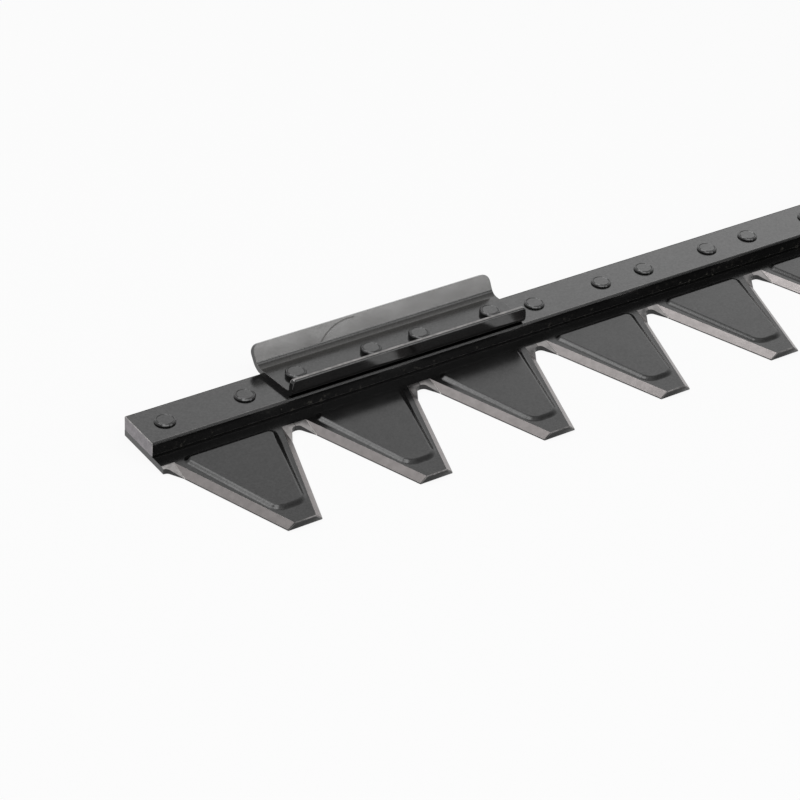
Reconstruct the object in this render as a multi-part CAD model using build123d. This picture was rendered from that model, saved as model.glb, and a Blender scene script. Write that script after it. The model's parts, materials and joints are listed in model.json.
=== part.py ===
from build123d import *
import math
import os

# Knife of a sickle bar garden mower: a flat steel knife back with triangular knife sections
# riveted under it and a folded drive channel riveted on top. Millimetres, +Z up.
# X runs along the knife, the sections point to -Y, and the undersides of the sections lie at Z 0.
# The origin is on the undersides, at the middle of the knife's length, on the rivet line.

# Knife back: a rectangular bar with lightly rounded edges
section_count = 11
pitch = 76.2
back_width = 28.0
back_thickness = 8.0
back_edge_radius = 0.8

# Knife sections: pressed plates with two ground cutting edges and a raised panel
section_thickness = 3.6
section_seam_gap = 0.15
section_reach = 80.4
tip_width = 19.2
cutting_edge_land = 0.6
edge_start_reach = 19.0
edge_start_inset = 6.9
root_reach = 10.8
flank_angle = 30.0
notch_radius = 2.9
notch_grind_reach = 8.8
notch_grind_angle = 17.5
notch_grind_half_width = 7.1
bevel_width = 3.5
panel_height = 1.3
panel_slope = 45.0
panel_rear_reach = 8.0
panel_tip_reach = 68.6
panel_rear_width = 54.0
panel_tip_width = 17.0
panel_rear_radius = 4.0
panel_tip_radius = 8.0
panel_hollow_depth = 1.2
panel_hollow_inset = 1.5

# Drive channel: sheet folded up at the back and at the front, over two sections
channel_first_section = 2
channel_sections = 2
channel_end_inset = 1.4
channel_end_skew = 3.0
sheet_thickness = 3.0
floor_to_back_fold = 15.4
floor_to_front_fold = 10.9
back_wall_height = 10.3
back_wall_angle = 60.0
front_lip_height = 7.3
front_lip_angle = 90.0
back_fold_radius = 5.0
front_fold_radius = 1.2
wall_corner_radius = 4.5
lip_corner_radius = 2.2

# Rivets: two to a section, with low flat heads above and countersunk tails below
rivet_spacing = 46.0
shank_diameter = 6.0
rivet_hole_clearance = 0.1
head_diameter = 11.2
head_height = 1.3
channel_head_height = 2.6
head_edge = 0.6
tail_diameter = 9.0
tail_depth = 1.6

knife_length = section_count * pitch
back_front_face = -back_width / 2
back_rear_face = back_width / 2
back_underside = section_thickness
back_top = back_underside + back_thickness
floor_top = back_top + sheet_thickness
hole_radius = shank_diameter / 2 + rivet_hole_clearance
middle = Pos(-knife_length / 2, 0, 0)


def section_left(index):
    """X of a section's left seam, measured from the knife's left end; sections count from 1."""
    return (index - 1) * pitch


def rivet_places(index):
    """X of a section's two rivets."""
    centre = section_left(index) + pitch / 2
    return [centre - rivet_spacing / 2, centre + rivet_spacing / 2]


def channel_section_numbers():
    return range(channel_first_section, channel_first_section + channel_sections)


def above(point, along, across):
    """A large block on the upper side of the plane through a point and two directions."""
    normal = Vector(*along).cross(Vector(*across))
    if normal.Z < 0:
        normal = normal * -1
    size = knife_length
    plane = Plane(origin=point, x_dir=along, z_dir=normal)
    return plane * Box(size, size, size, align=(Align.CENTER, Align.CENTER, Align.MIN))


def countersunk_hole(depth):
    """Shank hole through a stack of this depth, with the tail's countersink at its foot."""
    shank = Cylinder(hole_radius, depth, align=(Align.CENTER, Align.CENTER, Align.MIN))
    mouth = tail_diameter / 2 + rivet_hole_clearance
    sink = Cone(mouth, hole_radius, tail_depth, align=(Align.CENTER, Align.CENTER, Align.MIN))
    return shank + sink


def panel_sketch(shrink):
    """Outline of the raised panel on the section's centre line, drawn in by this much."""
    rear = back_front_face - panel_rear_reach - shrink
    tip = back_front_face - panel_tip_reach + shrink
    rear_half = panel_rear_width / 2 - shrink
    tip_half = panel_tip_width / 2 - shrink
    outline = Polygon((-tip_half, tip), (tip_half, tip), (rear_half, rear), (-rear_half, rear), align=None)
    corners = outline.vertices().sort_by(Axis.Y)
    outline = fillet(corners[:2], panel_tip_radius - shrink)
    corners = outline.vertices().group_by(Axis.Y)[-1]
    return fillet(corners, panel_rear_radius - shrink)


def section_blank():
    """Outline of a section: square base, a rounded half notch on each side, straight edges to the tip."""
    base_half = (pitch - section_seam_gap) / 2
    edge_half = pitch / 2 - edge_start_inset
    root = back_front_face - root_reach
    edge_start = back_front_face - edge_start_reach
    tip = back_front_face - section_reach
    notch_half = edge_half + (edge_start_reach - root_reach) * math.tan(math.radians(flank_angle))
    right = [
        (tip_width / 2, tip),
        (edge_half, edge_start),
        (notch_half, root),
        (base_half, root),
        (base_half, back_rear_face),
    ]
    left = [(-x, y) for x, y in reversed(right)]
    outline = Polygon(*right, *left, align=None)
    corners = [outline.vertices().sort_by_distance((side * notch_half, root, 0))[0] for side in (-1, 1)]
    return fillet(corners, notch_radius)


def grinding_wedge():
    """What grinding takes off the right side: the bevel along the edge, and the notch beside the seam."""
    edge_half = pitch / 2 - edge_start_inset
    edge_start = back_front_face - edge_start_reach
    tip = back_front_face - section_reach
    along = Vector(tip_width / 2 - edge_half, tip - edge_start, 0).normalized()
    inward = Vector(along.Y, -along.X, 0)
    drop = section_thickness - cutting_edge_land
    across = inward * bevel_width + Vector(0, 0, drop)
    bevel = above((edge_half, edge_start, cutting_edge_land), tuple(along), tuple(across))
    fall = math.tan(math.radians(notch_grind_angle))
    grind_line = (0, back_front_face - notch_grind_reach, section_thickness)
    notch_grind = above(grind_line, (1, 0, 0), (0, 1, fall))
    divide = pitch / 2 - notch_grind_half_width
    edge_side = Pos(divide, 0, 0) * Box(
        knife_length, knife_length, knife_length, align=(Align.MAX, Align.CENTER, Align.CENTER)
    )
    return (bevel & edge_side) + (notch_grind - edge_side)


def knife_section():
    """One knife section about its own centre line."""
    plate = extrude(section_blank(), section_thickness)
    wedge = grinding_wedge()
    plate = plate - wedge - mirror(wedge, Plane.YZ)
    panel = extrude(panel_sketch(0), panel_height, taper=panel_slope)
    plate = plate + Pos(0, 0, section_thickness) * panel
    hollow = extrude(panel_sketch(panel_hollow_inset), panel_hollow_depth, taper=panel_slope)
    plate = plate - hollow
    for side in (-1, 1):
        plate = plate - Pos(side * rivet_spacing / 2, 0, 0) * countersunk_hole(section_thickness)
    return plate


def knife_back():
    """The bar that carries the sections, drilled for every rivet."""
    bar = Pos(knife_length / 2, 0, back_underside) * Box(
        knife_length, back_width, back_thickness, align=(Align.CENTER, Align.CENTER, Align.MIN)
    )
    bar = fillet(bar.edges().filter_by(Axis.X), back_edge_radius)
    for index in range(1, section_count + 1):
        for x in rivet_places(index):
            hole = Cylinder(hole_radius, back_thickness, align=(Align.CENTER, Align.CENTER, Align.MIN))
            bar = bar - Pos(x, 0, back_underside) * hole
    return bar


def folded_side(fold, height, angle):
    """Inner corner, inner top, outer top and outer corner of one upturned side, outwards positive."""
    lean = math.radians(angle)
    reach = height / math.tan(lean)
    top = floor_top + height
    inner_top = (fold + reach, top)
    outer_top = (fold + reach + sheet_thickness * math.sin(lean), top - sheet_thickness * math.cos(lean))
    outer_fold = fold + sheet_thickness * math.tan(lean / 2)
    return [(fold, floor_top), inner_top, outer_top, (outer_fold, back_top)]


def drive_channel():
    """Folded sheet with a tall back wall and a short front lip, open at both ends."""
    back = folded_side(floor_to_back_fold, back_wall_height, back_wall_angle)
    front = [(-y, z) for y, z in folded_side(floor_to_front_fold, front_lip_height, front_lip_angle)]
    outline = Polygon(*front, *reversed(back), align=None)
    folds = (
        (back[0], back_fold_radius),
        (back[3], back_fold_radius + sheet_thickness),
        (front[0], front_fold_radius),
        (front[3], front_fold_radius + sheet_thickness),
    )
    for place, radius in folds:
        corner = outline.vertices().sort_by_distance((place[0], place[1], 0))[0]
        outline = fillet(corner, radius)
    start = section_left(channel_first_section) + channel_end_inset
    length = channel_sections * pitch - 2 * channel_end_inset
    sheet = extrude(Plane.YZ.offset(start) * outline, length)
    rear = back[2][0]
    fore = front[2][0]
    skew = Polygon((start, rear), (start, fore), (start + channel_end_skew, fore), align=None)
    sheet = sheet - extrude(skew, floor_top + back_wall_height + sheet_thickness)
    for side, radius in ((back, wall_corner_radius), (front, lip_corner_radius)):
        half = ((side[1][0] + side[2][0]) / 2, (side[1][1] + side[2][1]) / 2)
        corners = []
        for x in (start, start + length):
            near = sheet.edges().sort_by_distance((x, half[0], half[1]))
            corners.append(near[0])
        sheet = fillet(corners, radius)
    for index in channel_section_numbers():
        for x in rivet_places(index):
            hole = Cylinder(hole_radius, sheet_thickness, align=(Align.CENTER, Align.CENTER, Align.MIN))
            sheet = sheet - Pos(x, 0, back_top) * hole
    return sheet


def rivet(stack, height):
    """A rivet through a stack of this thickness: countersunk tail, shank and a head of this height."""
    shank = shank_diameter / 2
    head = head_diameter / 2
    outline = Polygon(
        (0, 0),
        (tail_diameter / 2, 0),
        (shank, tail_depth),
        (shank, stack),
        (head, stack),
        (head, stack + height - head_edge),
        (head - head_edge, stack + height),
        (0, stack + height),
        align=None,
    )
    return revolve(Plane.XZ * outline, Axis.Z)


os.makedirs("parts", exist_ok=True)

export_step(middle * knife_back(), "parts/knife_back.step")
export_step(middle * drive_channel(), "parts/drive_channel.step")

section = knife_section()
for index in range(1, section_count + 1):
    place = Pos(section_left(index) + pitch / 2, 0, 0)
    export_step(middle * place * section, f"parts/knife_section_{index:02d}.step")

section_rivet = rivet(back_top, head_height)
channel_rivet = rivet(floor_top, channel_head_height)
section_rivets = []
channel_rivets = []
for index in range(1, section_count + 1):
    for x in rivet_places(index):
        if index in channel_section_numbers():
            channel_rivets.append(middle * Pos(x, 0, 0) * channel_rivet)
        else:
            section_rivets.append(middle * Pos(x, 0, 0) * section_rivet)
export_step(Compound(children=section_rivets), "parts/section_rivets.step")
export_step(Compound(children=channel_rivets), "parts/channel_rivets.step")
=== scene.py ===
import json
import math

import bpy
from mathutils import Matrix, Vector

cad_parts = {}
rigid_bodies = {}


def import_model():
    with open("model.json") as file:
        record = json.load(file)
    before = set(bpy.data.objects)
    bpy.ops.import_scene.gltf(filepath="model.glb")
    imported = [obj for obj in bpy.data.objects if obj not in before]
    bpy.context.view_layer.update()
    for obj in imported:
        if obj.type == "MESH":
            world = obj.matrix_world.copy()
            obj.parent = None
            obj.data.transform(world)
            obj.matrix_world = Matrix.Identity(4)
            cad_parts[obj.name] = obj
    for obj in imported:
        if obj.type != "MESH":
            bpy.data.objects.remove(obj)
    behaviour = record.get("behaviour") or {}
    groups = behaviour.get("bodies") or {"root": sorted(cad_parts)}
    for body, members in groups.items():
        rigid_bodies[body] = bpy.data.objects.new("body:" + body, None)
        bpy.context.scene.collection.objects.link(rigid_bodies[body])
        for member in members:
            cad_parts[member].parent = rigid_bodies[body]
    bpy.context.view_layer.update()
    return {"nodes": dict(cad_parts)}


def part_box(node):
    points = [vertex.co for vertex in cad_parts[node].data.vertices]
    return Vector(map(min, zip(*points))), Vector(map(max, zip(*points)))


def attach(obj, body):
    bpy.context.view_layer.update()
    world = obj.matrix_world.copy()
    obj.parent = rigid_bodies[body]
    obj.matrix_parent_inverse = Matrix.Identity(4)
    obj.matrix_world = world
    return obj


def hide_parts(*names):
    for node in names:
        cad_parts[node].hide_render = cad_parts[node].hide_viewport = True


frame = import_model()

# Knife back: the flat rolled steel bar that carries everything, sprayed with black enamel.
# Its long edges are rolled round and its ends are sheared off square,
# so an end face is paler, with thin paint over torn steel.
mm = 0.001
weld_gap = 0.001 * mm
flat_turn = 0.2
touching = 0.01 * mm
end_burr = 0.35 * mm
bar_crease = 30
noise_low, noise_high = 0.3, 0.7
first_colour, second_colour, mixed_colour = 6, 7, 2


def linear(colour):
    """An sRGB hex colour as linear red, green, blue and alpha."""
    channels = [int(colour[i:i + 2], 16) / 255 for i in (1, 3, 5)]
    return [c / 12.92 if c < 0.04045 else ((c + 0.055) / 1.055) ** 2.4 for c in channels] + [1.0]


def add(owner, kind, inputs=None, **settings):
    """Adds a shader node to a material or the world; an input gets a value or a link from an output."""
    made = owner.node_tree.nodes.new(kind)
    for name, value in settings.items():
        setattr(made, name, value)
    for socket, value in (inputs or {}).items():
        if isinstance(value, bpy.types.NodeSocket):
            owner.node_tree.links.new(value, made.inputs[socket])
        else:
            made.inputs[socket].default_value = value
    return made


def new_material(name):
    """An empty material, ready for its nodes."""
    material = bpy.data.materials.new(name)
    material.use_nodes = True
    material.node_tree.nodes.clear()
    return material


def welded_copy(node):
    """A copy of a CAD solid as one closed mesh with its flat faces whole, selected and ready to work."""
    bpy.ops.object.select_all(action="DESELECT")
    solid = frame["nodes"][node]
    piece = solid.copy()
    piece.data = solid.data.copy()
    piece.data.materials.clear()
    piece.name = node + "_finished"
    bpy.context.collection.objects.link(piece)
    piece.select_set(True)
    bpy.context.view_layer.objects.active = piece
    bpy.ops.mesh.customdata_custom_splitnormals_clear()
    bpy.ops.object.mode_set(mode="EDIT")
    bpy.ops.mesh.select_all(action="SELECT")
    bpy.ops.mesh.remove_doubles(threshold=weld_gap)
    bpy.ops.mesh.dissolve_limited(angle_limit=math.radians(flat_turn))
    bpy.ops.mesh.select_all(action="DESELECT")
    bpy.ops.object.mode_set(mode="OBJECT")
    return piece


def bevel_edges(mesh, chosen, offset, segments, slot=-1):
    """Rounds the chosen edges of the piece in hand, given by their pairs of vertex numbers."""
    for edge in mesh.edges:
        edge.select = edge.key in chosen
    bpy.ops.object.mode_set(mode="EDIT")
    bpy.ops.mesh.select_mode(type="EDGE")
    bpy.ops.mesh.bevel(
        offset=offset, segments=segments, affect="EDGES", clamp_overlap=False, material=slot)
    bpy.ops.mesh.select_all(action="DESELECT")
    bpy.ops.object.mode_set(mode="OBJECT")


def shade(piece, crease):
    """Shades curves smooth and flats flat, with a crease where the surface turns by more than this angle."""
    bpy.ops.object.shade_smooth_by_angle(angle=math.radians(crease))
    flats = piece.modifiers.new("flat_faces_stay_flat", "WEIGHTED_NORMAL")
    flats.keep_sharp = True
    bpy.ops.object.modifier_apply(modifier=flats.name)


def black_enamel(name, tone, gloss, index, dust=0.08):
    """Sprayed black enamel: the eye sees little of its own colour, and mostly the lamps in its gloss.

    An index above enamel's usual 1.5 gives the stronger mirror of a smoother piece.
    """
    cloudiness = 0.04
    plain_shine = 0.5
    paint = new_material(name)
    place = add(paint, "ShaderNodeTexCoord").outputs["Object"]
    # Uneven spraying makes the gloss cloudy, in patches nearly as wide as the bar.
    cloud_size = 25 * mm
    clouds = add(paint, "ShaderNodeTexNoise", {"Vector": place, "Scale": 1 / cloud_size, "Detail": 3.0})
    roughness = add(paint, "ShaderNodeMapRange", {
        "Value": clouds.outputs["Fac"], "From Min": noise_low, "From Max": noise_high,
        "To Min": gloss - cloudiness, "To Max": gloss + cloudiness})
    # Orange peel and dust are finer on real enamel; here they are drawn as coarse as they need to show.
    peel_size = 1.2 * mm
    peel_depth = 0.1 * mm
    peel = add(paint, "ShaderNodeTexNoise", {"Vector": place, "Scale": 1 / peel_size, "Detail": 2.0})
    bump = add(paint, "ShaderNodeBump", {
        "Strength": 0.1, "Distance": peel_depth, "Height": peel.outputs["Fac"]})
    speck_size = 1.1 * mm
    specks = add(paint, "ShaderNodeTexNoise", {"Vector": place, "Scale": 1 / speck_size, "Detail": 2.0})
    shine = add(paint, "ShaderNodeMapRange", {
        "Value": specks.outputs["Fac"], "From Min": noise_low, "From Max": noise_high,
        "To Min": plain_shine - dust, "To Max": plain_shine + dust})
    shader = add(paint, "ShaderNodeBsdfPrincipled", {
        "Base Color": linear(tone), "Roughness": roughness.outputs["Result"], "IOR": index,
        "Specular IOR Level": shine.outputs["Result"], "Normal": bump.outputs["Normal"]})
    add(paint, "ShaderNodeOutputMaterial", {"Surface": shader.outputs["BSDF"]})
    return paint


def worn_steel(name, bare, patchy=0.25, metal="#989594"):
    """Steel bared by grinding or rubbing: a soft grey mirror, with black enamel left on it in patches.

    Bare is the share without paint, give or take patchy.
    """
    patch_size = 4 * mm
    steel = new_material(name)
    place = add(steel, "ShaderNodeTexCoord").outputs["Object"]
    patches = add(steel, "ShaderNodeTexNoise", {"Vector": place, "Scale": 1 / patch_size, "Detail": 4.0})
    share = add(steel, "ShaderNodeMapRange", {
        "Value": patches.outputs["Fac"], "From Min": 0.35, "From Max": 0.65,
        "To Min": bare - patchy, "To Max": bare + patchy})
    paint = add(steel, "ShaderNodeBsdfPrincipled", {
        "Base Color": linear("#050505"), "Roughness": 0.25, "IOR": 1.6})
    shown = add(steel, "ShaderNodeBsdfPrincipled", {
        "Base Color": linear(metal), "Metallic": 1.0, "Roughness": 0.35})
    both = add(steel, "ShaderNodeMixShader", {
        0: share.outputs["Result"], 1: paint.outputs["BSDF"], 2: shown.outputs["BSDF"]})
    add(steel, "ShaderNodeOutputMaterial", {"Surface": both.outputs["Shader"]})
    return steel


def sheared_steel(name):
    """Steel torn by the shear, under one thin coat: mottled grey, and rougher than the rolled faces."""
    tear_size = 3 * mm
    tear_depth = 0.2 * mm
    steel = new_material(name)
    place = add(steel, "ShaderNodeTexCoord").outputs["Object"]
    tears = add(steel, "ShaderNodeTexNoise", {"Vector": place, "Scale": 1 / tear_size, "Detail": 5.0})
    tone = add(steel, "ShaderNodeMix", {
        0: tears.outputs["Fac"], first_colour: linear("#464145"), second_colour: linear("#979095")},
        data_type="RGBA")
    bump = add(steel, "ShaderNodeBump", {
        "Strength": 0.3, "Distance": tear_depth, "Height": tears.outputs["Fac"]})
    shader = add(steel, "ShaderNodeBsdfPrincipled", {
        "Base Color": tone.outputs[mixed_colour], "Roughness": 0.35, "IOR": 1.6,
        "Normal": bump.outputs["Normal"]})
    add(steel, "ShaderNodeOutputMaterial", {"Surface": shader.outputs["BSDF"]})
    return steel


def joint_dirt(name, foot, head):
    """Enamel that has cracked along a joint: glossy black, with pale chips and dried dirt at its foot."""
    crumb_size = 2.5 * mm
    chip_spacing = 10 * mm
    chip_rim, chip_core = 0.085, 0.05
    crumb_strength = 0.1
    dirt = new_material(name)
    place = add(dirt, "ShaderNodeTexCoord").outputs["Object"]
    height = add(dirt, "ShaderNodeSeparateXYZ", {"Vector": place})
    low = add(dirt, "ShaderNodeMapRange", {
        "Value": height.outputs["Z"], "From Min": foot, "From Max": head, "To Min": 1.0, "To Max": 0.0})
    crumbs = add(dirt, "ShaderNodeTexNoise", {"Vector": place, "Scale": 1 / crumb_size, "Detail": 3.0})
    chips = add(dirt, "ShaderNodeTexVoronoi", {"Vector": place, "Scale": 1 / chip_spacing})
    chip = add(dirt, "ShaderNodeMapRange", {
        "Value": chips.outputs["Distance"], "From Min": chip_rim, "From Max": chip_core})
    crumb = add(dirt, "ShaderNodeMapRange", {
        "Value": crumbs.outputs["Fac"], "From Min": 0.6, "From Max": 0.75, "To Max": crumb_strength})
    spots = add(dirt, "ShaderNodeMath", {0: chip.outputs["Result"], 1: crumb.outputs["Result"]},
                operation="MAXIMUM")
    share = add(dirt, "ShaderNodeMath", {0: spots.outputs[0], 1: low.outputs["Result"]},
                operation="MULTIPLY")
    tone = add(dirt, "ShaderNodeMix", {
        0: share.outputs[0], first_colour: linear("#030303"), second_colour: linear("#c9c4b8")},
        data_type="RGBA")
    shader = add(dirt, "ShaderNodeBsdfPrincipled", {
        "Base Color": tone.outputs[mixed_colour], "Roughness": 0.18, "IOR": 1.6})
    add(dirt, "ShaderNodeOutputMaterial", {"Surface": shader.outputs["BSDF"]})
    return dirt


bar = welded_copy("knife_back")
bar_start, bar_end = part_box("knife_back")
bar_foot = bar_start[2]
chips_thin_from = bar_foot + 2 * mm
chips_end = bar_foot + 6 * mm
end_edge_slot, end_slot, rolled_edge_slot, joint_slot = 1, 2, 3, 4
for material in (
        black_enamel("black_enamel_on_rolled_bar", "#030303", 0.16, 1.7),
        worn_steel("bare_steel_on_sheared_edge", 0.6, 0.25, metal="#b0adac"),
        sheared_steel("thin_enamel_on_sheared_end"),
        worn_steel("enamel_thin_on_rolled_edges", 0.18, 0.07),
        joint_dirt("chipped_enamel_over_joint", chips_thin_from, chips_end)):
    bar.data.materials.append(material)
points = [vertex.co for vertex in bar.data.vertices]
end_edges = {
    edge.key for edge in bar.data.edges for end in (bar_start[0], bar_end[0])
    if all(abs(points[v].x - end) < touching for v in edge.key)}
bevel_edges(bar.data, end_edges, end_burr, segments=2, slot=end_edge_slot)
shade(bar, bar_crease)
end_facing = 0.95
turned_aside = 0.2
turned_up = 0.1
for face in bar.data.polygons:
    if abs(face.normal.x) > end_facing:
        face.material_index = end_slot
    elif face.material_index == 0 and abs(face.normal.y) > turned_aside:
        face.material_index = rolled_edge_slot if face.normal.z > turned_up else joint_slot
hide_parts("knife_back")
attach(bar, "root")

# Paint in the joint: enamel that has run along the foot of the bar's front edge and dried there.
# It is a thin bead in the groove that the bar's rolled edge leaves above the sections,
# and has the same chipped black as the bar's front.
sliver = 0.025 * mm
bead_depth = 0.8 * mm
bead_height = 0.9 * mm
bead_rounding = 0.25 * mm
bead_crease = 30


def round_corners(piece, width, segments, crease, slot=-1):
    """Rounds every corner that turns by more than this angle, and gives the new faces a material slot."""
    rounding = piece.modifiers.new("rounding", "BEVEL")
    rounding.width = width
    rounding.segments = segments
    rounding.limit_method = "ANGLE"
    rounding.angle_limit = math.radians(crease)
    rounding.material = slot
    bpy.ops.object.modifier_apply(modifier=rounding.name)
    bpy.ops.object.mode_set(mode="EDIT")
    bpy.ops.mesh.select_all(action="SELECT")
    bpy.ops.mesh.dissolve_degenerate(threshold=sliver)
    bpy.ops.mesh.select_all(action="DESELECT")
    bpy.ops.object.mode_set(mode="OBJECT")
    shade(piece, crease)


bpy.ops.object.select_all(action="DESELECT")
bpy.ops.mesh.primitive_cube_add(size=1)
bead = bpy.context.object
bead.name = "paint_run_into_joint"
bead.scale = (bar_end[0] - bar_start[0] - 2 * end_burr, bead_depth, bead_height)
bead.location = (
    (bar_start[0] + bar_end[0]) / 2, bar_start[1] + bead_depth / 2, bar_foot + bead_height / 2)
bpy.ops.object.transform_apply(location=True, rotation=True, scale=True)
bead.data.materials.append(bar.data.materials[joint_slot])
round_corners(bead, bead_rounding, segments=3, crease=bead_crease)
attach(bead, "root")

# Knife sections: hardened steel plates with a pressed panel, sprayed with the same black as the bar.
# Their two cutting edges and the notches between neighbours are ground, and show bare steel.
# Each is riveted under the bar, edge to edge with its neighbours.
section_count = 11
plate_top = bar_foot
section_start, section_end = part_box("knife_section_01")
left, right, tip_line = section_start[0], section_end[0], section_start[1]
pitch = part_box("knife_section_02")[0][0] - left
panel_rise = section_end[2] - plate_top
panel_slope_width = 3.5 * mm
panel_foot_spread = 1.0 * mm
panel_steps = 10
tip_rounding = 0.5 * mm
edge_rounding = 0.2 * mm
section_crease = 24
notch_half_width = 7.1 * mm
step_area = 4 * mm * mm
off_underside = plate_top / 10
bevel_slope = (0.7, 0.85)
notch_slope = (0.9, 0.98)
section_paint = black_enamel("black_enamel_on_pressed_plate", "#030303", 0.2, 1.5)
# Ground steel mirrors softly: dull grey where it turns from the lamps, and pale where it meets them.
ground_bevel = worn_steel("ground_steel_on_bevel", 0.88, 0.08, metal="#9a9594")
ground_notch = worn_steel("ground_steel_in_notch", 0.95)
# From the second section on, the grind on a section's right side is drawn darker, with less bare steel
# showing.
darker_notch = worn_steel("darker_ground_steel_in_notch", 0.3)
# The sharp step between the two grinds catches the light as a fine pale line.
bright_step = worn_steel("bare_steel_on_grinding_step", 1.0, 0.0, metal="#f4f2f0")
# The tip's edges are rubbed partly bare, and grime dulls the seam between two plates.
worn_edge = worn_steel("enamel_worn_on_edges", 0.4)
seam_grime = black_enamel("dull_grime_in_seam", "#0a0908", 0.7, 1.4)
bevel_slot, left_notch_slot, tip_slot, right_notch_slot, step_slot, seam_slot = range(1, 7)


def press_panel(mesh):
    """Presses the panel of the piece in hand anew, with the soft rise that a press tool leaves."""
    for face in mesh.polygons:
        face.select = face.center.z > plate_top + touching
    bpy.ops.object.mode_set(mode="EDIT")
    bpy.ops.mesh.select_mode(type="FACE")
    bpy.ops.mesh.delete(type="FACE")
    bpy.ops.mesh.select_mode(type="EDGE")
    bpy.ops.mesh.select_non_manifold(extend=False)
    bpy.ops.mesh.edge_face_add()
    bpy.ops.mesh.select_mode(type="FACE")
    bpy.ops.mesh.inset(thickness=panel_foot_spread, use_outset=True)
    bpy.ops.mesh.select_more()
    bpy.ops.mesh.dissolve_faces()
    for step in range(panel_steps):
        low, high = [math.cos(math.pi * s / panel_steps) for s in (step, step + 1)]
        bpy.ops.mesh.inset(
            thickness=panel_slope_width / panel_steps, depth=panel_rise * (low - high) / 2)
    bpy.ops.mesh.select_all(action="SELECT")
    bpy.ops.mesh.normals_make_consistent(inside=False)
    bpy.ops.mesh.select_all(action="DESELECT")
    bpy.ops.object.mode_set(mode="OBJECT")


section = welded_copy("knife_section_01")
mesh = section.data
for material in (
        section_paint, ground_bevel, ground_notch, worn_edge, ground_notch, bright_step, seam_grime):
    mesh.materials.append(material)
points = [vertex.co for vertex in mesh.vertices]
tip_edges = {
    edge.key for edge in mesh.edges
    if all(points[v].y < tip_line + touching and points[v].z > off_underside for v in edge.key)}
bevel_edges(mesh, tip_edges, tip_rounding, segments=3, slot=tip_slot)
press_panel(mesh)
round_corners(section, edge_rounding, segments=2, crease=section_crease)
for face in mesh.polygons:
    from_seam = min(face.center.x - left, right - face.center.x)
    if from_seam < 2 * edge_rounding and face.normal.z > turned_up:
        face.material_index = seam_slot
    elif face.material_index == 0 and face.center.z < plate_top:
        if abs(from_seam - notch_half_width) < 2 * edge_rounding and face.area < step_area:
            face.material_index = step_slot
        elif bevel_slope[0] < face.normal.z < bevel_slope[1]:
            face.material_index = bevel_slot
        elif notch_slope[0] < face.normal.z < notch_slope[1]:
            on_left = face.center.x < (left + right) / 2
            face.material_index = left_notch_slot if on_left else right_notch_slot
for number in range(1, section_count + 1):
    node = f"knife_section_{number:02d}"
    piece = section
    if number > 1:
        bpy.ops.object.select_all(action="DESELECT")
        piece = frame["nodes"][node].copy()
        piece.data = mesh.copy()
        piece.name = node + "_finished"
        bpy.context.collection.objects.link(piece)
        piece.select_set(True)
        bpy.context.view_layer.objects.active = piece
        bpy.ops.transform.translate(value=((number - 1) * pitch, 0, 0))
        bpy.ops.object.transform_apply(location=True, rotation=False, scale=False)
        piece.data.materials[right_notch_slot] = darker_notch
    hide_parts(node)
    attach(piece, "root")

# Drive channel: thick steel sheet folded up at the back and front, its rims rounded by tumbling.
# It is sprayed black and riveted down on the bar over the second and third sections.
# The piece that drives the knife rubs in it, so its rims and back wall are worn.
# The back wall's grey base is partly painted reflection, and its gloss rising towards the rim is painted
# sheen.
rim_radius = 0.9 * mm
sheet_rounding = 0.35 * mm
channel_crease = 40
bar_top, wall_top = [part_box(node)[1][2] for node in ("knife_back", "drive_channel")]
lip_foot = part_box("channel_rivets")[1][2]
lip_side = bar_start[1] / 2
lip_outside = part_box("drive_channel")[0][1] + rim_radius
upright = 0.98
rim_facing = 0.9
wall_facing = -0.85
rim_slot, wall_slot, lip_slot = 1, 2, 3


def lighten_back_fold(paint):
    """A lighter, faintly warm grey in the channel's back fold, fading out up the wall and forward over the
    floor.
    """
    fold_grey_foot = bar_top + 3 * mm
    fold_grey_head = bar_top + 5.5 * mm
    fold_grey_front = 7 * mm
    fold_grey_back = 13 * mm
    place = add(paint, "ShaderNodeTexCoord").outputs["Object"]
    spot = add(paint, "ShaderNodeSeparateXYZ", {"Vector": place})
    low = add(paint, "ShaderNodeMapRange", {
        "Value": spot.outputs["Z"], "From Min": fold_grey_head, "From Max": fold_grey_foot})
    near_fold = add(paint, "ShaderNodeMapRange", {
        "Value": spot.outputs["Y"], "From Min": fold_grey_front, "From Max": fold_grey_back})
    fold_grey_share = add(paint, "ShaderNodeMath", {0: low.outputs["Result"], 1: near_fold.outputs["Result"]},
                  operation="MULTIPLY")
    tone = add(paint, "ShaderNodeMix", {
        0: fold_grey_share.outputs[0], first_colour: linear("#030303"), second_colour: linear("#302f2d")},
        data_type="RGBA")
    shader = paint.node_tree.nodes["Principled BSDF"]
    paint.node_tree.links.new(tone.outputs[mixed_colour], shader.inputs["Base Color"])


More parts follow.
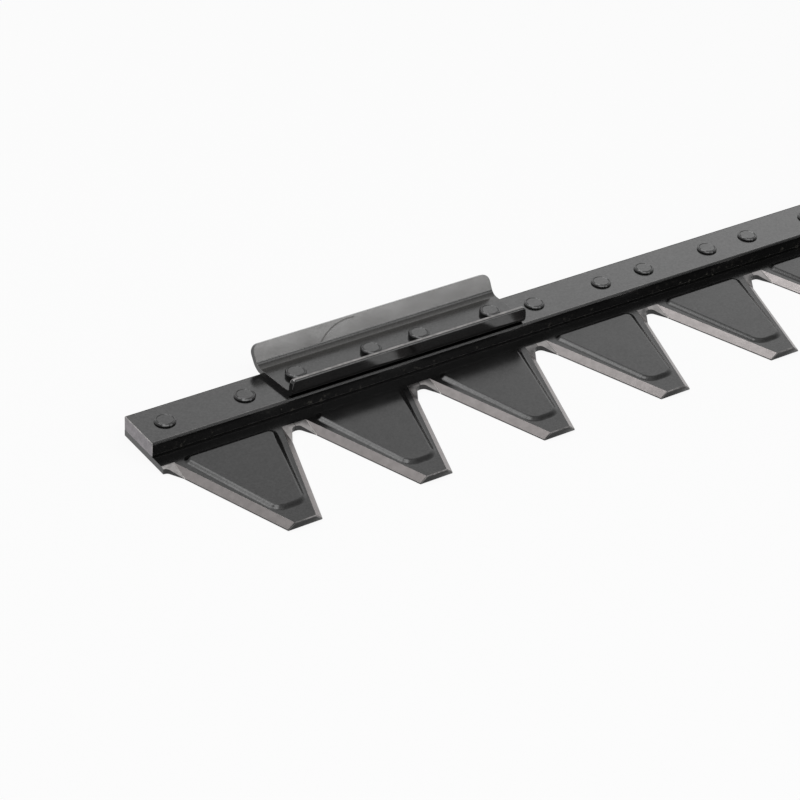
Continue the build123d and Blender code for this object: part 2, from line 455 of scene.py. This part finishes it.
def scuff_and_paint_sheen(paint):
    """Marks on the back wall: a painted sheen whose gloss grows towards its rim, smudges along its length,
    and one curved scratch.
    """
    sheen_start_height = bar_top + 6 * mm
    scratch_centre = (-282.5 * mm, 7.1 * mm, 0.2 * mm)
    scratch_radius = 27.4 * mm
    scratch_half_width = 0.4 * mm
    scratch_end = -279 * mm
    scratch_shine = 0.4
    smudge_size = 7 * mm
    smudge_stretch = (0.4, 1.0, 1.0)
    place = add(paint, "ShaderNodeTexCoord").outputs["Object"]
    spot = add(paint, "ShaderNodeSeparateXYZ", {"Vector": place})
    # Painted sheen: the gloss grows towards the rim, so the wall's top reads paler as the light falls on it.
    painted_sheen_by_height = add(paint, "ShaderNodeMapRange", {
        "Value": spot.outputs["Z"], "From Min": sheen_start_height, "From Max": wall_top,
        "To Min": 0.94, "To Max": 1.24})
    swing = add(paint, "ShaderNodeVectorMath", {0: place, 1: scratch_centre}, operation="DISTANCE")
    ring = add(paint, "ShaderNodeMath", {
        0: swing.outputs["Value"], 1: scratch_radius, 2: scratch_half_width}, operation="COMPARE")
    rising = add(paint, "ShaderNodeMath", {0: spot.outputs["X"], 1: scratch_end}, operation="LESS_THAN")
    scratch = add(paint, "ShaderNodeMath", {0: ring.outputs[0], 1: rising.outputs[0]},
                  operation="MULTIPLY")
    dulled = add(paint, "ShaderNodeMapRange", {
        "Value": scratch.outputs[0], "To Min": 1.0, "To Max": scratch_shine})
    stretched = add(paint, "ShaderNodeVectorMath", {0: place, 1: smudge_stretch}, operation="MULTIPLY")
    smudges = add(paint, "ShaderNodeTexNoise", {
        "Vector": stretched.outputs["Vector"], "Scale": 1 / smudge_size, "Detail": 5.0})
    smudged = add(paint, "ShaderNodeMapRange", {
        "Value": smudges.outputs["Fac"], "From Min": noise_low, "From Max": noise_high,
        "To Min": 0.82, "To Max": 1.18})
    shader = paint.node_tree.nodes["Principled BSDF"]
    shine = shader.inputs["Specular IOR Level"].links[0].from_socket
    for wear_and_sheen in (painted_sheen_by_height, dulled, smudged):
        shine_with_wear_and_sheen = add(paint, "ShaderNodeMath", {0: shine, 1: wear_and_sheen.outputs["Result"]}, operation="MULTIPLY")
        shine = shine_with_wear_and_sheen.outputs[0]
    paint.node_tree.links.new(shine, shader.inputs["Specular IOR Level"])


channel = welded_copy("drive_channel")
mesh = channel.data
channel_paint = black_enamel("black_enamel_on_folded_sheet", "#030303", 0.18, 1.65)
lighten_back_fold(channel_paint)
# The back wall's grey base is partly painted reflection, on top of the sheen that the low front lamp gives
# it.
wall_paint = black_enamel("scuffed_enamel_with_painted_sheen_on_back_wall", "#484644", 0.18, 1.65, dust=0.05)
scuff_and_paint_sheen(wall_paint)
# Dust on the lip's outer face lifts its black a little and leaves its gloss.
lip_paint = black_enamel("dusty_enamel_on_front_lip", "#121111", 0.14, 1.7)
for material in (channel_paint, worn_steel("enamel_rubbed_off_rim", 0.5), wall_paint, lip_paint):
    mesh.materials.append(material)
points = [vertex.co for vertex in mesh.vertices]
lip_rim = set()
for face in mesh.polygons:
    if abs(face.normal.y) > upright and face.center.y < lip_side:
        lip_rim.update(key for key in face.edge_keys if all(points[v].z > lip_foot for v in key))
bevel_edges(mesh, lip_rim, rim_radius, segments=4, slot=rim_slot)
round_corners(channel, sheet_rounding, segments=2, crease=channel_crease, slot=rim_slot)
for face in mesh.polygons:
    if face.center.y < lip_outside:
        face.material_index = lip_slot
    elif face.center.y < 0 and face.center.z > lip_foot and face.normal.z > rim_facing:
        face.material_index = rim_slot
    elif face.center.y > 0 and face.normal.y < wall_facing and face.material_index == 0:
        face.material_index = wall_slot
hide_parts("drive_channel")
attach(channel, "root")

# Rivets: round steel rivets with flat heads, two to a section, set through the whole stack.
# Their heads are pressed down on the bar and on the channel floor, which leaves a shallow ring in each,
# and are sprayed black with the pieces that they hold.
head_rounding = 0.12 * mm
ring_inset = 0.3 * mm
ring_width = 0.3 * mm
ring_depth = 0.3 * mm
rivet_crease = 30
facing_up = 0.99
rivet_paint = black_enamel("black_enamel_on_rivet_heads", "#030303", 0.18, 1.7)
for node in ("section_rivets", "channel_rivets"):
    rivets = welded_copy(node)
    head_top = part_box(node)[1][2]
    for face in rivets.data.polygons:
        face.select = face.normal.z > facing_up and face.center.z > head_top - touching
    bpy.ops.object.mode_set(mode="EDIT")
    bpy.ops.mesh.select_mode(type="FACE")
    bpy.ops.mesh.inset(thickness=ring_inset)
    bpy.ops.mesh.inset(thickness=ring_width, depth=-ring_depth)
    bpy.ops.mesh.inset(thickness=ring_width, depth=ring_depth)
    bpy.ops.mesh.select_all(action="DESELECT")
    bpy.ops.object.mode_set(mode="OBJECT")
    round_corners(rivets, head_rounding, segments=2, crease=rivet_crease)
    rivets.data.materials.append(rivet_paint)
    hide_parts(node)
    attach(rivets, "root")

# Floor: a large sheet of white paper just under the knife, which keeps the knife's soft shadow.
# The camera and mirroring surfaces see it as nearly plain white,
# and to all other light it is matt, pale paper.
floor_size = 12
floor_drop = 0.2 * mm
whitening = 0.88
bpy.ops.object.select_all(action="DESELECT")
bpy.ops.mesh.primitive_plane_add(size=floor_size, location=(0, 0, -floor_drop))
floor = bpy.context.object
floor.name = "paper_floor"
paper = new_material("white_paper")
rays = add(paper, "ShaderNodeLightPath")
direct = add(paper, "ShaderNodeMath", {
    0: rays.outputs["Is Camera Ray"], 1: rays.outputs["Is Glossy Ray"]}, operation="ADD")
seen = add(paper, "ShaderNodeMath", {0: direct.outputs[0], 1: rays.outputs["Is Transmission Ray"]},
           operation="ADD", use_clamp=True)
share = add(paper, "ShaderNodeMath", {0: seen.outputs[0], 1: whitening}, operation="MULTIPLY")
matt = add(paper, "ShaderNodeBsdfDiffuse", {"Color": linear("#e6e6e6")})
glow = add(paper, "ShaderNodeEmission", {"Color": linear("#ffffff"), "Strength": 1.0})
sheet = add(paper, "ShaderNodeMixShader", {
    0: share.outputs[0], 1: matt.outputs["BSDF"], 2: glow.outputs["Emission"]})
add(paper, "ShaderNodeOutputMaterial", {"Surface": sheet.outputs["Shader"]})
floor.data.materials.append(paper)

# Light: a white studio with softboxes overhead, behind the knife and in front of it.
# Black enamel shows what it mirrors, so to its gloss the studio is graded:
# brighter overhead, behind, and most of all behind on the right.
plain_level = 0.45
front_level, back_level = 0.3, 0.8
ceiling_level = 0.8
ceiling_tightness = 12.0
glow_toward = (0.676, 0.568, 0.469)
glow_level = 0.8
glow_tightness = 12.6
first_value, second_value = 2, 3
world = bpy.data.worlds.new("white_studio")
bpy.context.scene.world = world
world.use_nodes = True
world.node_tree.nodes.clear()
rays = add(world, "ShaderNodeLightPath")
toward = add(world, "ShaderNodeTexCoord").outputs["Generated"]
facing = add(world, "ShaderNodeVectorMath", {0: toward, 1: glow_toward}, operation="DOT_PRODUCT")
bright_side = add(world, "ShaderNodeMath", {0: facing.outputs["Value"], 1: 0.0}, operation="MAXIMUM")
glow = add(world, "ShaderNodeMath", {0: bright_side.outputs[0], 1: glow_tightness}, operation="POWER")
split = add(world, "ShaderNodeSeparateXYZ", {"Vector": toward})
backdrop = add(world, "ShaderNodeMapRange", {
    "Value": split.outputs["Y"], "From Min": -1.0, "From Max": 1.0,
    "To Min": front_level, "To Max": back_level})
above = add(world, "ShaderNodeMath", {0: split.outputs["Z"], 1: 0.0}, operation="MAXIMUM")
overhead = add(world, "ShaderNodeMath", {0: above.outputs[0], 1: ceiling_tightness}, operation="POWER")
ceiling = add(world, "ShaderNodeMath", {
    0: overhead.outputs[0], 1: ceiling_level, 2: backdrop.outputs["Result"]}, operation="MULTIPLY_ADD")
mirrored = add(world, "ShaderNodeMath", {
    0: glow.outputs[0], 1: glow_level, 2: ceiling.outputs[0]}, operation="MULTIPLY_ADD")
in_gloss = add(world, "ShaderNodeMix", {
    0: rays.outputs["Is Glossy Ray"], first_value: plain_level, second_value: mirrored.outputs[0]})
seen = add(world, "ShaderNodeMath", {
    0: rays.outputs["Is Camera Ray"], 1: rays.outputs["Is Transmission Ray"]},
    operation="ADD", use_clamp=True)
level = add(world, "ShaderNodeMix", {
    0: seen.outputs[0], first_value: in_gloss.outputs[0], second_value: 1.0})
white = add(world, "ShaderNodeBackground", {"Color": linear("#ffffff"), "Strength": level.outputs[0]})
add(world, "ShaderNodeOutputWorld", {"Surface": white.outputs["Background"]})
lit_place = (-0.28, -0.02, 0.01)


def softbox(name, azimuth, elevation, width, height, brightness, distance=2.0):
    """A lamp that faces the knife; its angles are in degrees, its sizes in metres, its power per area."""
    around, up = math.radians(azimuth), math.radians(elevation)
    away = (math.cos(up) * math.cos(around), math.cos(up) * math.sin(around), math.sin(up))
    bpy.ops.object.select_all(action="DESELECT")
    bpy.ops.object.light_add(
        type="AREA", location=[p + distance * a for p, a in zip(lit_place, away)])
    lamp = bpy.context.object
    lamp.name = name
    lamp.rotation_euler = (math.pi / 2 - up, 0, around + math.pi / 2)
    lamp.data.shape = "RECTANGLE"
    lamp.data.size = width
    lamp.data.size_y = height
    lamp.data.energy = brightness * math.pi * width * height


softbox("top_left_softbox", 120, 61, width=1.4, height=1.1, brightness=3.8, distance=4.0)
softbox("top_back_softbox", 85, 57, width=0.9, height=0.5, brightness=1.9)
softbox("overhead_softbox", 150, 80, width=0.8, height=0.5, brightness=4.0)
softbox("front_left_softbox", 245, 56, width=1.8, height=0.7, brightness=2.4)
softbox("front_softbox", -52, 43, width=0.9, height=0.5, brightness=1.5)
softbox("front_low_softbox", -58.5, 21, width=0.55, height=0.6, brightness=2.9)

# Camera: at the photograph's place in front of the left end, with a long lens.
# Its place, its turn in degrees and its lens were fitted to the photograph.
camera_place = (-897.9 * mm, -869.9 * mm, 691.0 * mm)
camera_turn = (56.4445, -3.0844, -34.1642)
bpy.ops.object.select_all(action="DESELECT")
bpy.ops.object.camera_add(location=camera_place, rotation=[math.radians(a) for a in camera_turn])
camera = bpy.context.object
camera.data.sensor_width = 36
camera.data.lens = 109.47
camera.data.clip_start = 0.05
bpy.context.scene.camera = camera
bpy.context.scene.view_settings.view_transform = "Standard"
